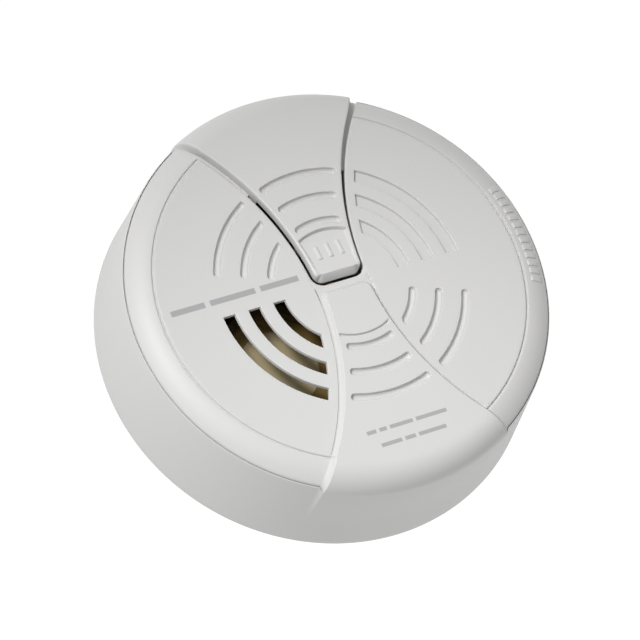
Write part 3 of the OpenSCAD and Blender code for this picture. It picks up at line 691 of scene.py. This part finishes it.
COVER = material("cover_plastic_matte", (0.56, 0.56, 0.55), 0.5,
                 bump=0.25, scale=1800, vary=0.012, sss=0.03)
HOUSING = material("housing_plastic_matte", (0.50, 0.50, 0.49), 0.5, bump=0.3, scale=1500, vary=0.02)
INK = material("print_ink_grey", (0.34, 0.34, 0.345), 0.6, vary=0.05)
STEEL = material("plated_steel", (0.6, 0.6, 0.62), 0.28, 1.0, bump=0.15, scale=800)
BROWN = material("horn_moulding_brown", (0.085, 0.058, 0.024), 0.5, bump=0.3, scale=1300)
BLACK = material("black_moulding", (0.012, 0.012, 0.012), 0.45, bump=0.3, scale=1300)
PINS = material("tinned_brass_pin", (0.62, 0.52, 0.28), 0.3, 1.0)
NODE_LOOKS = {
    "mounting_bracket": HOUSING,
    "back_housing": HOUSING,
    "battery_door": HOUSING,
    "battery_jacket": material("battery_jacket_print", (0.05, 0.07, 0.13), 0.3, 0.4, vary=0.08),
    "battery_cells": material("cell_wrap_grey", (0.3, 0.3, 0.31), 0.5),
    "battery_leads": material("wire_insulation_red", (0.35, 0.03, 0.025), 0.45, bump=0.1),
    "battery_terminals": STEEL,
    "battery_contacts": STEEL,
    "board_screws": STEEL,
    "cover_screws": STEEL,
    "circuit_board": material("board_laminate_brown", (0.21, 0.15, 0.065), 0.5,
                              bump=0.3, scale=600, vary=0.2),
    "solder_joints": material("solder_bright", (0.62, 0.63, 0.65), 0.3, 1.0, bump=0.2, scale=700),
    "co_sensor_can": material("sensor_can_steel", (0.52, 0.52, 0.53), 0.32, 1.0, bump=0.15, scale=500),
    "co_sensor_cap": material("sensor_cap_white", (0.72, 0.72, 0.70), 0.5, bump=0.2),
    "co_sensor_pins": PINS,
    "horn_cup": BROWN,
    "horn_retaining_ring": BROWN,
    "horn_contact_pins": PINS,
    "piezo_disc": material("disc_brass_sheet", (0.52, 0.36, 0.13), 0.34, 0.75,
                           bump=0.15, scale=300, vary=0.08),
    "piezo_ceramic": material("ceramic_element_buff", (0.46, 0.38, 0.22), 0.55, bump=0.2, vary=0.06),
    "test_switch_body": BLACK,
    "test_switch_plunger": material("plunger_ivory", (0.68, 0.67, 0.6), 0.45, bump=0.1),
    "status_leds": material("led_epoxy_red", (0.45, 0.03, 0.02), 0.12, coat=0.5),
    "microcontroller": BLACK,
    "microcontroller_leads": STEEL,
    "capacitors": material("capacitor_sleeve_blue", (0.03, 0.05, 0.16), 0.3, bump=0.1, vary=0.06),
    "resistors": material("resistor_lacquer", (0.5, 0.37, 0.2), 0.4, bump=0.1, vary=0.1),
    "transistors": BLACK,
    "horn_coil_core": BLACK,
    "horn_coil_winding": material("copper_winding", (0.55, 0.2, 0.07), 0.3, 0.9, bump=0.6, vary=0.1),
}
for name, look in NODE_LOOKS.items():
    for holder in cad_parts[name].material_slots:
        holder.material = look

# ---------- pieces ----------
cover = build("front_cover_shell", sector(False) + sector(True) + lower_panel() + fixed_panel()
              + waist_strip() + slit_corners(), "alarm_body", COVER)
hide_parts("front_cover")
plate = build("test_button_plate", button(), "button", COVER)
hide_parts("test_button")
build("rim_dashes", [rim_dash(a) for a in DASH_ANGLES], "alarm_body", COVER)
build("printed_bars_left", print_left(), "alarm_body", INK)
build("printed_bars_lower", print_lower(), "alarm_body", INK)

# ---------- stage, in metres ----------
FLOOR_Z = -0.25
FLOOR_GLOW = 0.88
WORLD_STRENGTH = 0.48
FLOOR = material("floor_white", (0.3, 0.3, 0.3), 0.8, vary=0.0)
FLOOR.node_tree.nodes["Principled BSDF"].inputs["Emission Color"].default_value = (1, 1, 1, 1)
FLOOR.node_tree.nodes["Principled BSDF"].inputs["Emission Strength"].default_value = FLOOR_GLOW
bpy.ops.mesh.primitive_plane_add(size=8, location=(0, 0, FLOOR_Z))
floor = bpy.context.object
floor.name = "floor"
floor.data.materials.append(FLOOR)

world = bpy.data.worlds.new("studio")
bpy.context.scene.world = world
world.use_nodes = True
world.node_tree.nodes["Background"].inputs["Color"].default_value = (1, 1, 1, 1)
world.node_tree.nodes["Background"].inputs["Strength"].default_value = WORLD_STRENGTH

AZ, EL, ROLL = (math.radians(a) for a in (-48.4, 60.0, 28.0))
DISTANCE = 0.984
LENS = 200.2           # focal length and sensor width, millimetres
SENSOR = 36
SHIFT = (-22.05 / 640, -37.0 / 640)
TARGET = np.array([0, 0, FACE_Z * 0.001])
back = np.array([math.sin(AZ) * math.cos(EL), -math.cos(AZ) * math.cos(EL), math.sin(EL)])
right = np.array([math.cos(AZ), math.sin(AZ), 0.0])
up = np.cross(back, right)
rolled_right = math.cos(ROLL) * right + math.sin(ROLL) * up
rolled_up = -math.sin(ROLL) * right + math.cos(ROLL) * up


def aim(obj, position, towards_back, side, upward):
    """Places an object so that it looks along minus towards_back."""
    m = np.eye(4)
    m[:3] = np.stack([side, upward, towards_back, position], 1)
    obj.matrix_world = Matrix(m.tolist())


def area_light(name, target, direction, distance, size, spread, power):
    """A soft square light whose beam falls off round its target."""
    d = np.array(direction) / np.linalg.norm(direction)
    lamp = bpy.data.lights.new(name, "AREA")
    lamp.size = size
    lamp.spread = math.radians(spread)
    lamp.energy = power
    obj = bpy.data.objects.new(name, lamp)
    bpy.context.scene.collection.objects.link(obj)
    side = np.cross([0, 0, 1.0], d)
    side = side / np.linalg.norm(side)
    aim(obj, np.array(target) + d * distance, d, side, np.cross(d, side))


area_light("key", (0.01, -0.065, 0.036), (-0.63, 0.42, 1.0), 0.7, 0.2, 32, 0.21)

camera_data = bpy.data.cameras.new("camera")
camera_data.sensor_width = SENSOR
camera_data.lens = LENS
camera_data.shift_x = SHIFT[0]
camera_data.shift_y = SHIFT[1]
camera_data.clip_end = 20
camera = bpy.data.objects.new("camera", camera_data)
bpy.context.scene.collection.objects.link(camera)
aim(camera, TARGET + back * DISTANCE, back, rolled_right, rolled_up)
bpy.context.scene.camera = camera
bpy.context.scene.view_settings.view_transform = "Standard"
